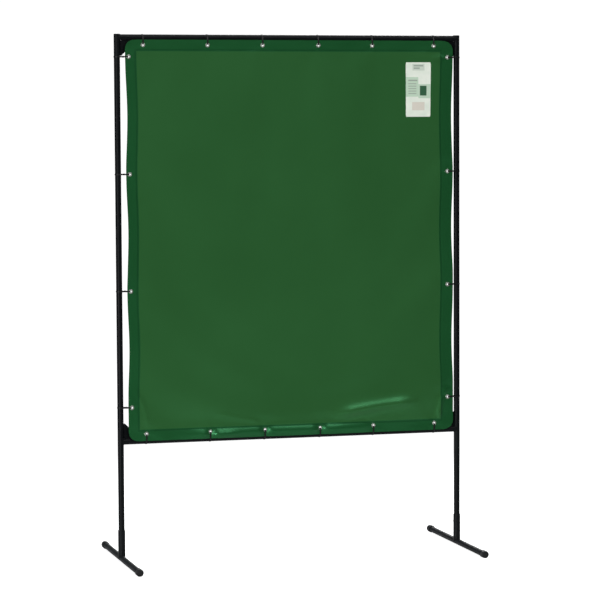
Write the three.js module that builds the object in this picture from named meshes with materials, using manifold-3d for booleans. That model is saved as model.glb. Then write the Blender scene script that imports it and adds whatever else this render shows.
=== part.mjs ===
// A one-panel portable welding screen: a black steel-tube frame on two T-feet, with a green PVC curtain tied
// inside it. Millimetres, +Z up. The origin is on the floor under the middle of the screen, +X runs along the
// panel, and -Y is the side that the curtain hangs on.
import * as THREE from "three";
import { mergeVertices } from "three/addons/utils/BufferGeometryUtils.js";
import Module from "manifold-3d";

// Frame
const FRAME_WIDTH = 1302; // over the uprights
const FRAME_HEIGHT = 1900; // to the top of the top rail, without the plugs in the uprights
const TUBE_R = 11;
const TUBE_WALL = 1.5;
const BOTTOM_RAIL_Z = 437; // the rail's axis
const PLUG_FLANGE = 1.5;
const PLUG_FLANGE_CHAMFER = 0.8;
const PLUG_DEPTH = 14;
const PLUG_LEAD = { height: 2, radius: 1 }; // the taper at the tip of its stem
const GUSSET_LEG = 54;
const GUSSET_TIP = 5; // the blunt end of each leg
const GUSSET_THICK = 3;
const GAP = 0.3; // between pieces that are welded or touch

// Feet
const FOOT_LENGTH = 640; // over the end caps
const FOOT_AXIS_Z = 12.5;
const CAP_R = 13.5; // more than the axis height, so that the underside is flat
const CAP_LENGTH = 30;
const CAP_END = 4; // the thickness of its closed end
const CAP_PLAY = 0.4;
const CAP_CHAMFER = 2.5;
const SOCKET_R = 13;
const SOCKET_BORE_R = 11.5;
const SOCKET_TOP_Z = 115;

// Clamp screws: an M6 wing screw in a boss on the back of each socket
const SCREW_Z = 85;
const SCREW_R = 3;
const SCREW_CLEARANCE = 0.3;
const SCREW_CHAMFER = 0.8;
const SCREW_TIP_GAP = 0.4; // between its tip and the upright
const BOSS_R = 7;
const BOSS_END_Y = 19;
const HUB_R = 5.5;
const HUB_LENGTH = 9;
const HUB_TAPER = 1;
const HUB_GAP = 0.8; // between the hub and the boss
const WING_R = 6;
const WING_OFFSET = 10.5;
const WING_THICK = 3;

// Curtain
const CURTAIN_Y = -12.8; // the film's middle plane, just in front of the tubes
const FILM_THICK = 0.4;
const HEM_THICK = 1;
const HEM_WIDTH = 42;
const SIDE_EYELET_X = 600;
const TOP_EYELET_Z = 1862;
const BOTTOM_EYELET_Z = 463;
const ROW_EYELETS_X = [-547, -310, -105, 105, 310, 547];
const SIDE_EYELETS_Z = [1820, 1400, 980, 560];
const LEFT_MARGIN = 13; // from an eyelet's centre to the edge beside it
const RIGHT_MARGIN = 21;
const TOP_MARGIN = 19;
const BOTTOM_MARGIN = 25;
const CORNER = 40; // how far along each edge a rounded corner begins
const SCALLOP = 6; // how far a side edge bows in between two eyelets
const EYELET_HOLE_R = 4.4;
const EYELET_BARREL_R = 5.4;
const EYELET_FLANGE_R = 8.2;
const EYELET_FLANGE = 0.8;

// Cable ties
const TIE_WIDTH = 4.8;
const TIE_THICK = 1.3;
const TIE_TUBE_R = 14.8; // the strap's middle line round the tube
const TIE_TUBE_SHIFT = 2.5; // towards the eyelet, so that the strap bears on the tube's far side
const TIE_EYELET_R = 3.2;
const TIE_HEAD = { length: 7, height: 5, width: 6.5 };
const TIE_HEAD_SEAT = 1; // from the strap's middle line out to the head's middle

// Label
const LABEL = { width: 97, height: 200, thick: 0.3, x: 487, z: 1701.5 };

const UPRIGHT_X = FRAME_WIDTH / 2 - TUBE_R;
const TOP_RAIL_Z = FRAME_HEIGHT - TUBE_R;
const TUBE_BORE_R = TUBE_R - TUBE_WALL;
const ROUND = 32; // sides of a tube
const SMALL_ROUND = 16;

function material(name, color, roughness, metalness = 0) {
  return new THREE.MeshStandardMaterial({ name, color, roughness, metalness });
}

const paint = material("frame_paint", 0x14171a, 0.42, 0.1);
const plastic = material("black_plastic", 0x0c0d0e, 0.6);
const zinc = material("zinc", 0xb9bdb8, 0.35, 0.9);
const film = material("green_film", 0x28562e, 0.3);
const paper = material("label_paper", 0xe9eee2, 0.55);

const wasm = await Module();
wasm.setup();

/** A closed three.js geometry as a solid that can be cut and joined. */
function solidOf(geometry) {
  const bare = geometry.index ? geometry.toNonIndexed() : geometry.clone();
  bare.deleteAttribute("normal");
  bare.deleteAttribute("uv");
  const merged = mergeVertices(bare, 1e-3);
  const mesh = new wasm.Mesh({
    numProp: 3,
    vertProperties: merged.attributes.position.array,
    triVerts: new Uint32Array(merged.index.array),
  });
  return new wasm.Manifold(mesh);
}

/** A cut or joined solid as a three.js geometry. */
function geometryOf(solid) {
  const mesh = solid.getMesh();
  const geometry = new THREE.BufferGeometry();
  geometry.setAttribute("position", new THREE.BufferAttribute(mesh.vertProperties, 3));
  geometry.setIndex(new THREE.BufferAttribute(mesh.triVerts, 1));
  geometry.computeVertexNormals();
  return geometry;
}

function piece(name, geometry, material) {
  const mesh = new THREE.Mesh(geometry, material);
  mesh.name = name;
  return mesh;
}

/** A full rod along Y, from y0 to y1, centred on the Y axis. */
function rodY(radius, y0, y1, sides = ROUND) {
  return new THREE.CylinderGeometry(radius, radius, y1 - y0, sides).translate(0, (y0 + y1) / 2, 0);
}

/** A profile of radius and height, turned about the Y axis. */
function lathe(profile, sides) {
  return new THREE.LatheGeometry(profile.map(([r, y]) => new THREE.Vector2(r, y)), sides);
}

/** A round tube with open ends, along Z from 0 to length. */
function tube(outerR, boreR, length) {
  const ring = new THREE.Shape().absarc(0, 0, outerR, 0, 2 * Math.PI);
  ring.holes.push(new THREE.Path().absarc(0, 0, boreR, 0, 2 * Math.PI));
  return new THREE.ExtrudeGeometry(ring, { depth: length, bevelEnabled: false, curveSegments: ROUND / 2 });
}

/** A plate of an outline drawn in X and Z, with its middle plane at y. */
function plateXZ(shape, thick, y, curveSegments = 6) {
  const plate = new THREE.ExtrudeGeometry(shape, { depth: thick, bevelEnabled: false, curveSegments });
  return plate.rotateX(Math.PI / 2).translate(0, y + thick / 2, 0);
}

// --- Frame -----------------------------------------------------------------------------------------------

function makeUpright() {
  const bottom = FOOT_AXIS_Z + TUBE_R + 2 * GAP; // it stands on the floor of its socket
  return tube(TUBE_R, TUBE_BORE_R, FRAME_HEIGHT - bottom).translate(0, 0, bottom);
}

/** The plastic plug in the top of an upright. */
function makePlug() {
  const seat = FRAME_HEIGHT + GAP;
  const stemR = TUBE_BORE_R - GAP;
  const profile = [
    [0, seat - PLUG_DEPTH],
    [stemR - PLUG_LEAD.radius, seat - PLUG_DEPTH],
    [stemR, seat - PLUG_DEPTH + PLUG_LEAD.height],
    [stemR, seat],
    [TUBE_R, seat],
    [TUBE_R - PLUG_FLANGE_CHAMFER, seat + PLUG_FLANGE],
    [0, seat + PLUG_FLANGE],
  ];
  return lathe(profile, 20).rotateX(Math.PI / 2);
}

/** A level rail between the uprights, its ends coped to fit round them. */
function makeRail(axisZ) {
  const body = tube(TUBE_R, TUBE_BORE_R, 2 * UPRIGHT_X).translate(0, 0, -UPRIGHT_X).rotateY(Math.PI / 2);
  let rail = solidOf(body);
  for (const side of [-1, 1]) {
    const cope = rodY(TUBE_R + GAP, -3 * TUBE_R, 3 * TUBE_R).rotateX(Math.PI / 2);
    rail = rail.subtract(solidOf(cope.translate(side * UPRIGHT_X, 0, 0)));
  }
  return geometryOf(rail).translate(0, 0, axisZ);
}

/** A corner plate in the panel's middle plane; up is 1 above the bottom rail and -1 below the top rail. */
function makeGusset(side, up) {
  const x = (offset) => side * (UPRIGHT_X - TUBE_R - GAP - offset);
  const z0 = up > 0 ? BOTTOM_RAIL_Z : TOP_RAIL_Z;
  const z = (offset) => z0 + up * (TUBE_R + GAP + offset);
  const corners = [
    [x(0), z(0)],
    [x(GUSSET_LEG), z(0)],
    [x(GUSSET_LEG), z(GUSSET_TIP)],
    [x(GUSSET_TIP), z(GUSSET_LEG)],
    [x(0), z(GUSSET_LEG)],
  ];
  const outline = new THREE.Shape(corners.map(([cx, cz]) => new THREE.Vector2(cx, cz)));
  return plateXZ(outline, GUSSET_THICK, 0);
}

// --- Feet, built round the upright's axis ------------------------------------------------------------------

/** The T-foot's weldment: its floor tube, the socket for the upright and the boss for the clamp screw. */
function makeFoot() {
  const reach = FOOT_LENGTH / 2 - CAP_END - GAP;
  const floorTube = rodY(TUBE_R, -reach, reach).translate(0, 0, FOOT_AXIS_Z);
  const floorBore = rodY(TUBE_BORE_R, -2 * reach, 2 * reach).translate(0, 0, FOOT_AXIS_Z);
  const socket = rodY(SOCKET_R, FOOT_AXIS_Z, SOCKET_TOP_Z).rotateX(Math.PI / 2);
  const socketBore = rodY(SOCKET_BORE_R, FOOT_AXIS_Z + TUBE_R + GAP, 2 * SOCKET_TOP_Z).rotateX(Math.PI / 2);
  const boss = rodY(BOSS_R, 0, BOSS_END_Y, SMALL_ROUND).translate(0, 0, SCREW_Z);
  const screwHole = rodY(SCREW_R + SCREW_CLEARANCE, 0, 2 * BOSS_END_Y, SMALL_ROUND).translate(0, 0, SCREW_Z);
  let foot = solidOf(floorTube).add(solidOf(socket)).add(solidOf(boss));
  for (const cut of [floorBore, socketBore, screwHole]) foot = foot.subtract(solidOf(cut));
  return geometryOf(foot);
}

/** A push-on end cap with a flat underside; end is -1 at the front and 1 at the back. */
function makeFootCap(end) {
  const tip = FOOT_LENGTH / 2;
  const inside = tip - CAP_END;
  const boreR = TUBE_R + CAP_PLAY;
  const profile = [
    [0, inside],
    [boreR, inside],
    [boreR, tip - CAP_LENGTH],
    [CAP_R, tip - CAP_LENGTH],
    [CAP_R, tip - CAP_CHAMFER],
    [CAP_R - CAP_CHAMFER, tip],
    [0, tip],
  ];
  const cap = lathe(profile, 20);
  cap.rotateY(end > 0 ? 0 : Math.PI).rotateZ(end > 0 ? 0 : Math.PI).translate(0, 0, FOOT_AXIS_Z);
  const position = cap.getAttribute("position");
  for (let i = 0; i < position.count; i++) position.setZ(i, Math.max(0, position.getZ(i)));
  return cap;
}

/** A wing screw along Y, its tip just off the upright and its wings up and down. */
function makeClampScrew() {
  const tip = TUBE_R + SCREW_TIP_GAP;
  const hubStart = BOSS_END_Y + HUB_GAP;
  const hubEnd = hubStart + HUB_LENGTH;
  const profile = [
    [0, tip],
    [SCREW_R - SCREW_CHAMFER, tip],
    [SCREW_R, tip + SCREW_CHAMFER],
    [SCREW_R, hubStart],
    [HUB_R, hubStart],
    [HUB_R - HUB_TAPER, hubEnd],
    [0, hubEnd],
  ];
  let screw = solidOf(lathe(profile, SMALL_ROUND));
  for (const way of [-1, 1]) {
    const ear = rodY(WING_R, -WING_THICK / 2, WING_THICK / 2, SMALL_ROUND).rotateZ(Math.PI / 2);
    screw = screw.add(solidOf(ear.translate(0, hubEnd - HUB_TAPER, way * WING_OFFSET)));
    const neck = new THREE.BoxGeometry(WING_THICK, HUB_LENGTH - 2 * HUB_TAPER, WING_OFFSET - HUB_R / 2);
    const neckZ = (way * (HUB_R / 2 + WING_OFFSET)) / 2;
    screw = screw.add(solidOf(neck.translate(0, (hubStart + hubEnd) / 2, neckZ)));
  }
  return geometryOf(screw).translate(0, 0, SCREW_Z);
}

// --- Curtain -----------------------------------------------------------------------------------------------

/** Every eyelet: its name, its centre in X and Z, the turn to face its tube, and how far that tube is. */
function eyeletStations() {
  const stations = [];
  const add = (side, i, x, z, turn, reach) => stations.push({ name: `${side}_${i + 1}`, x, z, turn, reach });
  const topReach = TOP_RAIL_Z - TOP_EYELET_Z;
  const bottomReach = BOTTOM_EYELET_Z - BOTTOM_RAIL_Z;
  const sideReach = UPRIGHT_X - SIDE_EYELET_X;
  ROW_EYELETS_X.forEach((x, i) => add("top", i, x, TOP_EYELET_Z, -Math.PI / 2, topReach));
  SIDE_EYELETS_Z.forEach((z, i) => add("right", i, SIDE_EYELET_X, z, 0, sideReach));
  ROW_EYELETS_X.forEach((x, i) => add("bottom", i, x, BOTTOM_EYELET_Z, Math.PI / 2, bottomReach));
  SIDE_EYELETS_Z.forEach((z, i) => add("left", i, -SIDE_EYELET_X, z, Math.PI, sideReach));
  return stations;
}

/** The cut edge: straight along the rows, bowed in between the side eyelets, and rounded at the corners. */
function curtainOutline() {
  const leftX = -SIDE_EYELET_X - LEFT_MARGIN;
  const rightX = SIDE_EYELET_X + RIGHT_MARGIN;
  const topZ = TOP_EYELET_Z + TOP_MARGIN;
  const bottomZ = BOTTOM_EYELET_Z - BOTTOM_MARGIN;
  const outline = new THREE.Shape().moveTo(leftX + CORNER, topZ);
  outline.lineTo(rightX - CORNER, topZ);
  outline.quadraticCurveTo(rightX, topZ, rightX, topZ - CORNER);
  outline.lineTo(rightX, SIDE_EYELETS_Z[0]);
  for (let i = 1; i < SIDE_EYELETS_Z.length; i++) {
    const between = (SIDE_EYELETS_Z[i - 1] + SIDE_EYELETS_Z[i]) / 2;
    outline.quadraticCurveTo(rightX - 2 * SCALLOP, between, rightX, SIDE_EYELETS_Z[i]);
  }
  outline.lineTo(rightX, bottomZ + CORNER);
  outline.quadraticCurveTo(rightX, bottomZ, rightX - CORNER, bottomZ);
  outline.lineTo(leftX + CORNER, bottomZ);
  outline.quadraticCurveTo(leftX, bottomZ, leftX, bottomZ + CORNER);
  outline.lineTo(leftX, SIDE_EYELETS_Z.at(-1));
  for (let i = SIDE_EYELETS_Z.length - 1; i > 0; i--) {
    const between = (SIDE_EYELETS_Z[i - 1] + SIDE_EYELETS_Z[i]) / 2;
    outline.quadraticCurveTo(leftX + 2 * SCALLOP, between, leftX, SIDE_EYELETS_Z[i - 1]);
  }
  outline.lineTo(leftX, topZ - CORNER);
  outline.quadraticCurveTo(leftX, topZ, leftX + CORNER, topZ);
  return outline;
}

function rectangle(x0, z0, x1, z1) {
  return [[x0, z0], [x1, z0], [x1, z1], [x0, z1]].map(([x, z]) => new THREE.Vector2(x, z));
}

/** A thin film with a thicker folded hem all round, and a hole for each eyelet's barrel. */
function makeCurtain(stations) {
  const innerX = SIDE_EYELET_X + LEFT_MARGIN - HEM_WIDTH;
  const innerTop = TOP_EYELET_Z + TOP_MARGIN - HEM_WIDTH;
  const innerBottom = BOTTOM_EYELET_Z - BOTTOM_MARGIN + HEM_WIDTH;
  const hem = curtainOutline();
  hem.holes.push(new THREE.Path(rectangle(-innerX, innerBottom, innerX, innerTop)));
  for (const { x, z } of stations) {
    hem.holes.push(new THREE.Path().absarc(x, z, EYELET_BARREL_R + GAP, 0, 2 * Math.PI));
  }
  const lap = 1; // the film runs this far into the hem
  const field = new THREE.Shape(rectangle(-innerX - lap, innerBottom - lap, innerX + lap, innerTop + lap));
  const hemSolid = solidOf(plateXZ(hem, HEM_THICK, CURTAIN_Y, 5));
  return geometryOf(hemSolid.add(solidOf(plateXZ(field, FILM_THICK, CURTAIN_Y))));
}

/** A two-part eyelet closed round the hem, about the Y axis. */
function makeEyelet() {
  const inside = HEM_THICK / 2 + GAP;
  const outside = inside + EYELET_FLANGE;
  const profile = [
    [EYELET_HOLE_R, -outside],
    [EYELET_FLANGE_R, -outside],
    [EYELET_FLANGE_R, -inside],
    [EYELET_BARREL_R, -inside],
    [EYELET_BARREL_R, inside],
    [EYELET_FLANGE_R, inside],
    [EYELET_FLANGE_R, outside],
    [EYELET_HOLE_R, outside],
    [EYELET_HOLE_R, -outside],
  ];
  return lathe(profile, 10);
}

/** A cable tie from an eyelet at the origin round a tube at x = reach. Its strap lies in the XY plane. */
function makeTie(reach) {
  const tubeEnd = new THREE.Vector2(reach - TIE_TUBE_SHIFT, -CURTAIN_Y);
  const eyeletEnd = new THREE.Vector2(TIE_EYELET_R, 0);
  const between = tubeEnd.clone().sub(eyeletEnd);
  const lean = Math.asin((TIE_TUBE_R - TIE_EYELET_R) / between.length());
  // The directions from both centres to where the strap leaves them.
  const frontTurn = between.angle() - lean - Math.PI / 2;
  const backTurn = between.angle() + lean + Math.PI / 2;
  const belt = (path, offset) => {
    path.absarc(tubeEnd.x, tubeEnd.y, TIE_TUBE_R + offset, frontTurn, backTurn);
    path.absarc(eyeletEnd.x, eyeletEnd.y, TIE_EYELET_R + offset, backTurn, frontTurn + 2 * Math.PI);
    return path;
  };
  const loop = belt(new THREE.Shape(), TIE_THICK / 2);
  loop.holes.push(belt(new THREE.Path(), -TIE_THICK / 2));
  const strap = new THREE.ExtrudeGeometry(loop, { depth: TIE_WIDTH, bevelEnabled: false, curveSegments: 5 });
  strap.translate(0, 0, -TIE_WIDTH / 2);

  // The head sits on the straight run behind the curtain.
  const outward = new THREE.Vector2(Math.cos(backTurn), Math.sin(backTurn));
  const along = new THREE.Vector2(outward.y, -outward.x);
  const runLength = Math.sqrt(between.lengthSq() - (TIE_TUBE_R - TIE_EYELET_R) ** 2);
  const middle = eyeletEnd.clone().addScaledVector(outward, TIE_EYELET_R + TIE_HEAD_SEAT);
  middle.addScaledVector(along, runLength / 2);
  const head = new THREE.BoxGeometry(TIE_HEAD.length, TIE_HEAD.height, TIE_HEAD.width).rotateZ(along.angle());
  return geometryOf(solidOf(strap).add(solidOf(head.translate(middle.x, middle.y, 0))));
}

function makeLabel() {
  const { width, height, thick, x, z } = LABEL;
  const front = CURTAIN_Y - FILM_THICK / 2 - GAP;
  return new THREE.BoxGeometry(width, thick, height).translate(x, front - thick / 2, z);
}

// --- Assembly ----------------------------------------------------------------------------------------------

const screen = new THREE.Group();
const frame = new THREE.Group();
screen.add(frame);
for (const [hand, side] of [["left", -1], ["right", 1]]) {
  const upright = piece(`upright_${hand}`, makeUpright(), paint);
  const plug = piece(`top_plug_${hand}`, makePlug(), plastic);
  for (const mesh of [upright, plug]) mesh.position.x = side * UPRIGHT_X;
  frame.add(upright, plug);
  frame.add(piece(`gusset_top_${hand}`, makeGusset(side, -1), paint));
  frame.add(piece(`gusset_bottom_${hand}`, makeGusset(side, 1), paint));

  const foot = new THREE.Group();
  foot.position.x = side * UPRIGHT_X;
  foot.add(piece(`foot_${hand}`, makeFoot(), paint));
  foot.add(piece(`foot_cap_front_${hand}`, makeFootCap(-1), plastic));
  foot.add(piece(`foot_cap_back_${hand}`, makeFootCap(1), plastic));
  foot.add(piece(`clamp_screw_${hand}`, makeClampScrew(), zinc));
  screen.add(foot);
}
frame.add(piece("top_rail", makeRail(TOP_RAIL_Z), paint));
frame.add(piece("bottom_rail", makeRail(BOTTOM_RAIL_Z), paint));

const stations = eyeletStations();
frame.add(piece("curtain", makeCurtain(stations), film));
frame.add(piece("label", makeLabel(), paper));
for (const { name, x, z, turn, reach } of stations) {
  const eyelet = piece(`eyelet_${name}`, makeEyelet(), zinc);
  const tie = piece(`tie_${name}`, makeTie(reach), plastic);
  for (const mesh of [eyelet, tie]) mesh.position.set(x, CURTAIN_Y, z);
  tie.rotation.y = turn;
  frame.add(eyelet, tie);
}

export default screen;
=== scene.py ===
"""The looks of a portable welding screen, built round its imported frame: coped and welded steel tube with a
satin black powder coat, moulded caps, rolled eyelets, cable ties, and a slack green film with a welded hem.

Lengths are in metres, and MM turns millimetres into them. A shape is a pair: its points and its faces.
"""

import math
import random

import bpy
import numpy as np
from mathutils import Matrix, Vector, geometry


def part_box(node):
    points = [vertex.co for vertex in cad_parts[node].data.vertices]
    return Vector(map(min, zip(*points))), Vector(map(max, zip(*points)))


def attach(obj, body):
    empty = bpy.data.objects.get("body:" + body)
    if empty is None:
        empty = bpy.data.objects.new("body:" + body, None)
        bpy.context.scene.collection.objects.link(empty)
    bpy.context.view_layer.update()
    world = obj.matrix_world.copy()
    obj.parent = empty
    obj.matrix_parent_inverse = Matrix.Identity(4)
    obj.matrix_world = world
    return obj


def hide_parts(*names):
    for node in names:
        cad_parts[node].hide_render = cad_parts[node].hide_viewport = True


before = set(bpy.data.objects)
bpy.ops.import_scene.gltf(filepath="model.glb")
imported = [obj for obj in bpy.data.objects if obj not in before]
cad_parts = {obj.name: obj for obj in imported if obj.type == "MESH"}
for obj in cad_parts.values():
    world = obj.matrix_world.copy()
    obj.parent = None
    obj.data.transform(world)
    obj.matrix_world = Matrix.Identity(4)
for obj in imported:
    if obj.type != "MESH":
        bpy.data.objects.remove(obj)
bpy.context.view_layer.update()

MM = 0.001
HANDS = {"left": -1, "right": 1}
TURN = 2 * math.pi


def middle(node):
    low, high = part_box(node)
    return (low + high) / 2


def extent(node):
    low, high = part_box(node)
    return high - low


UPRIGHT_X = middle("upright_right").x
TUBE_R = extent("upright_right").x / 2
TUBE_BORE_R = TUBE_R - 1.5 * MM  # the wall is 1.5 mm thick
TOP_RAIL_Z = middle("top_rail").z
BOTTOM_RAIL_Z = middle("bottom_rail").z
CAP_FLAT = 1 * MM  # how much of a foot cap is cut away flat underneath
FOOT_Z = middle("foot_cap_front_left").z - CAP_FLAT / 2
FILM_Y = middle("curtain").y
SHEET_LOW, SHEET_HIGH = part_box("curtain")
ROW_COUNTS = {"top": 6, "right": 4, "bottom": 6, "left": 4}
ROWS = {row: [f"{row}_{i + 1}" for i in range(count)] for row, count in ROW_COUNTS.items()}
EYELETS = {station: middle(f"eyelet_{station}") for row in ROWS.values() for station in row}


# --- Shapes -----------------------------------------------


def outward(points, faces):
    """The shape with its faces turned outwards, which its signed volume shows."""
    volume = 0.0
    for face in faces:
        a = points[face[0]]
        for i in range(1, len(face) - 1):
            volume += a.dot(points[face[i]].cross(points[face[i + 1]]))
    return points, faces if volume > 0 else [tuple(reversed(face)) for face in faces]


def skin(rings, closed=False):
    """A shape through rings of points, closed into a loop or capped at both ends."""
    sides = len(rings[0])
    points = [Vector(p) for ring in rings for p in ring]
    faces = []
    for k in range(len(rings) if closed else len(rings) - 1):
        a, b = k * sides, (k + 1) % len(rings) * sides
        faces += [(a + i, a + (i + 1) % sides, b + (i + 1) % sides, b + i) for i in range(sides)]
    if not closed:
        last = (len(rings) - 1) * sides
        faces += [tuple(range(sides))[::-1], tuple(range(last, last + sides))]
    return outward(points, faces)


def lathe(profile, sides=64, closed=False):
    """A profile of (radius, height) points turned about Z."""
    return skin([[(x, y, h) for x, y in disc(r, sides)] for r, h in profile], closed)


def bend(centre, radius, start, end, steps=6):
    """Points on an arc of a profile, from one angle to another in degrees."""
    angles = np.radians(np.linspace(start, end, steps + 1))
    return [(centre[0] + radius * math.cos(a), centre[1] + radius * math.sin(a)) for a in angles]


def moved(shape, matrix):
    return [matrix @ p for p in shape[0]], shape[1]


def joined(*shapes):
    points, faces = [], []
    for more_points, more_faces in shapes:
        faces += [tuple(i + len(points) for i in face) for face in more_faces]
        points += more_points
    return points, faces


def at(x, y, z):
    return Matrix.Translation((x, y, z))


ALONG_Y = Matrix.Rotation(-math.pi / 2, 4, "X")  # turns +Z to +Y
FACE_FRONT = Matrix.Rotation(math.pi / 2, 4, "X")  # turns +Z to -Y


def resampled(path, step, closed):
    """Points an even distance apart along a path."""
    line = np.array([*path, path[0]] if closed else path, float)
    along = np.concatenate([[0], np.cumsum(np.linalg.norm(np.diff(line, axis=0), axis=1))])
    count = max(3, round(along[-1] / step))
    at_lengths = np.linspace(0, along[-1], count, endpoint=not closed)
    return [Vector([np.interp(s, along, line[:, k]) for k in range(3)]) for s in at_lengths]


def sweep(path, section, normal, closed=True, swell=None):
    """A section of (across, out) points carried along a path. normal gives the way out at a point."""
    rings = []
    count = len(path)
    for i, p in enumerate(path):
        before = path[i - 1] if closed or i else p
        after = path[(i + 1) % count] if closed or i + 1 < count else p
        tangent = (after - before).normalized()
        across = tangent.cross(normal(p)).normalized()
        out = across.cross(tangent)
        size = swell(i) if swell else 1
        rings.append([p + across * (a * size) + out * (b * size) for a, b in section])
    return skin(rings, closed)


def disc(radius, sides):
    return [(radius * math.cos(TURN * i / sides), radius * math.sin(TURN * i / sides)) for i in range(sides)]


def rounded_rectangle(width, height, radius, steps=3):
    """A section's outline, centred."""
    corners = [(1, 1, 0), (-1, 1, 90), (-1, -1, 180), (1, -1, 270)]
    outline = []
    for sx, sy, start in corners:
        centre = (sx * (width / 2 - radius), sy * (height / 2 - radius))
        outline += bend(centre, radius, start, start + 90, steps)
    return outline


BEAD_STEP, BEAD_SIDES = 0.55 * MM, 10
RIPPLE, RIPPLE_STEPS = 0.1, 4  # a ripple's share of the bead's radius, and its length in steps


def weld(path, normal, radius, closed=True):
    """A rippled weld bead along a path."""
    points = resampled(path, BEAD_STEP, closed)

    def swell(i):
        return 1 + RIPPLE * math.cos(TURN * i / RIPPLE_STEPS)

    return sweep(points, disc(radius, BEAD_SIDES), normal, closed, swell)


def add(name, shape, material, body, replaces=(), sharp=38):
    """Makes a shape into a piece that rides on a body."""
    mesh = bpy.data.meshes.new(name)
    mesh.from_pydata([tuple(p) for p in shape[0]], [], shape[1])
    mesh.materials.append(material)
    mesh.shade_smooth()
    mesh.set_sharp_from_angle(angle=math.radians(sharp))
    piece = bpy.data.objects.new(name, mesh)
    bpy.context.scene.collection.objects.link(piece)
    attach(piece, body)
    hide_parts(*replaces)
    return piece


# --- Materials --------------------------------------------


def node(tree, kind, inputs=None, **settings):
    """Adds a shader node. An input that is a socket is linked, and any other is set."""
    made = tree.nodes.new("ShaderNode" + kind)
    for name, value in settings.items():
        setattr(made, name, value)
    for name, value in (inputs or {}).items():
        if isinstance(value, bpy.types.NodeSocket):
            tree.links.new(value, made.inputs[name])
        else:
            made.inputs[name].default_value = value
    return made


def ramp(tree, factor, stops):
    """A colour ramp's colour, from (place, colour) stops; a number stands for a grey."""
    made = node(tree, "ValToRGB", {"Fac": factor})
    points = made.color_ramp.elements
    while len(points) < len(stops):
        points.new(0.5)
    for point, (place, colour) in zip(points, stops):
        point.position = place
        point.color = (*colour, 1) if isinstance(colour, tuple) else (colour, colour, colour, 1)
    return made.outputs["Color"]


def noise_of(tree, coords, scale, detail=3.0, roughness=0.5):
    inputs = {"Vector": coords, "Scale": scale, "Detail": detail, "Roughness": roughness}
    return node(tree, "TexNoise", inputs).outputs["Fac"]


def stretched(tree, coords, scale):
    return node(tree, "Mapping", {"Vector": coords, "Scale": scale}).outputs["Vector"]


def mix(tree, factor, a, b, blend_type="MIX"):
    made = node(tree, "MixRGB", {"Fac": factor, "Color1": a, "Color2": b}, blend_type=blend_type)
    return made.outputs["Color"]


def bumps(tree, *layers):
    """A normal made of (height, strength, distance) layers."""
    normal = None
    for height, strength, distance in layers:
        inputs = {"Height": height, "Strength": strength, "Distance": distance}
        if normal:
            inputs["Normal"] = normal
        normal = node(tree, "Bump", inputs).outputs["Normal"]
    return normal


def surface(name, **plain):
    """A new material, its tree, shader and object coordinates. plain sets the shader's sockets."""
    material = bpy.data.materials.new(name)
    material.use_nodes = True
    tree = material.node_tree
    shader = tree.nodes["Principled BSDF"]
    for socket, value in plain.items():
        shader.inputs[socket.replace("_", " ")].default_value = value
    coords = node(tree, "TexCoord").outputs["Object"]
    return material, tree, shader, coords


def feed(tree, shader, **links):
    for socket, source in links.items():
        tree.links.new(source, shader.inputs[socket.replace("_", " ")])


def powder_coat(name, sheen, worn=0.0):
    """Satin black powder coat: a fine orange peel, cloudy gloss, and pale scuffs where it is worn."""
    material, tree, shader, coords = surface(name, Specular_IOR_Level=sheen)
    cloud = noise_of(tree, coords, 9, 4)
    peel = noise_of(tree, coords, 620, 2)
    grit = noise_of(tree, coords, 2400, 2)
    tint = ramp(tree, cloud, [(0.3, (0.0018, 0.0024, 0.003)), (0.7, (0.004, 0.005, 0.006))])
    scratch = noise_of(tree, stretched(tree, coords, (90, 90, 14)), 6, 6, 0.7)
    scuff = ramp(tree, scratch, [(0.66 - 0.1 * worn, 0.0), (0.73 - 0.1 * worn, 1.0)])
    colour = mix(tree, 0.4 + 0.3 * worn, tint, (0.03, 0.033, 0.036, 1))
    feed(
        tree, shader,
        Base_Color=mix(tree, scuff, tint, colour),
        Roughness=ramp(tree, cloud, [(0.3, 0.42), (0.7, 0.54)]),
        Normal=bumps(tree, (peel, 0.16, 0.4 * MM), (grit, 0.1, 0.1 * MM)),
    )
    return material


def moulded(name, colour, roughness, grain=900, grain_depth=0.25 * MM):
    """Moulded plastic with a fine spark-eroded grain."""
    material, tree, shader, coords = surface(name, Specular_IOR_Level=0.22)
    cloud = noise_of(tree, coords, 40, 3)
    fine = noise_of(tree, coords, grain, 2)
    darker, lighter = (tuple(c * k for c in colour) for k in (0.75, 1.3))
    feed(
        tree, shader,
        Base_Color=ramp(tree, cloud, [(0.3, darker), (0.7, lighter)]),
        Roughness=ramp(tree, cloud, [(0.3, roughness - 0.06), (0.7, roughness + 0.06)]),
        Normal=bumps(tree, (fine, 0.2, grain_depth)),
    )
    return material


def plated(name, colour, roughness):
    """Plated metal: a bright base with cloudy stains and fine scratches."""
    material, tree, shader, coords = surface(name, Metallic=1.0)
    cloud = noise_of(tree, coords, 180, 4)
    scratch = noise_of(tree, stretched(tree, coords, (500, 500, 3000)), 1, 3)
    darker = tuple(c * 0.72 for c in colour)
    feed(
        tree, shader,
        Base_Color=ramp(tree, cloud, [(0.3, darker), (0.65, colour)]),
        Roughness=ramp(tree, scratch, [(0.3, roughness - 0.08), (0.7, roughness + 0.1)]),
        Normal=bumps(tree, (scratch, 0.12, 0.08 * MM)),
    )
    return material


SEE_THROUGH = 0.018  # the share of light that a single layer passes


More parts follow.
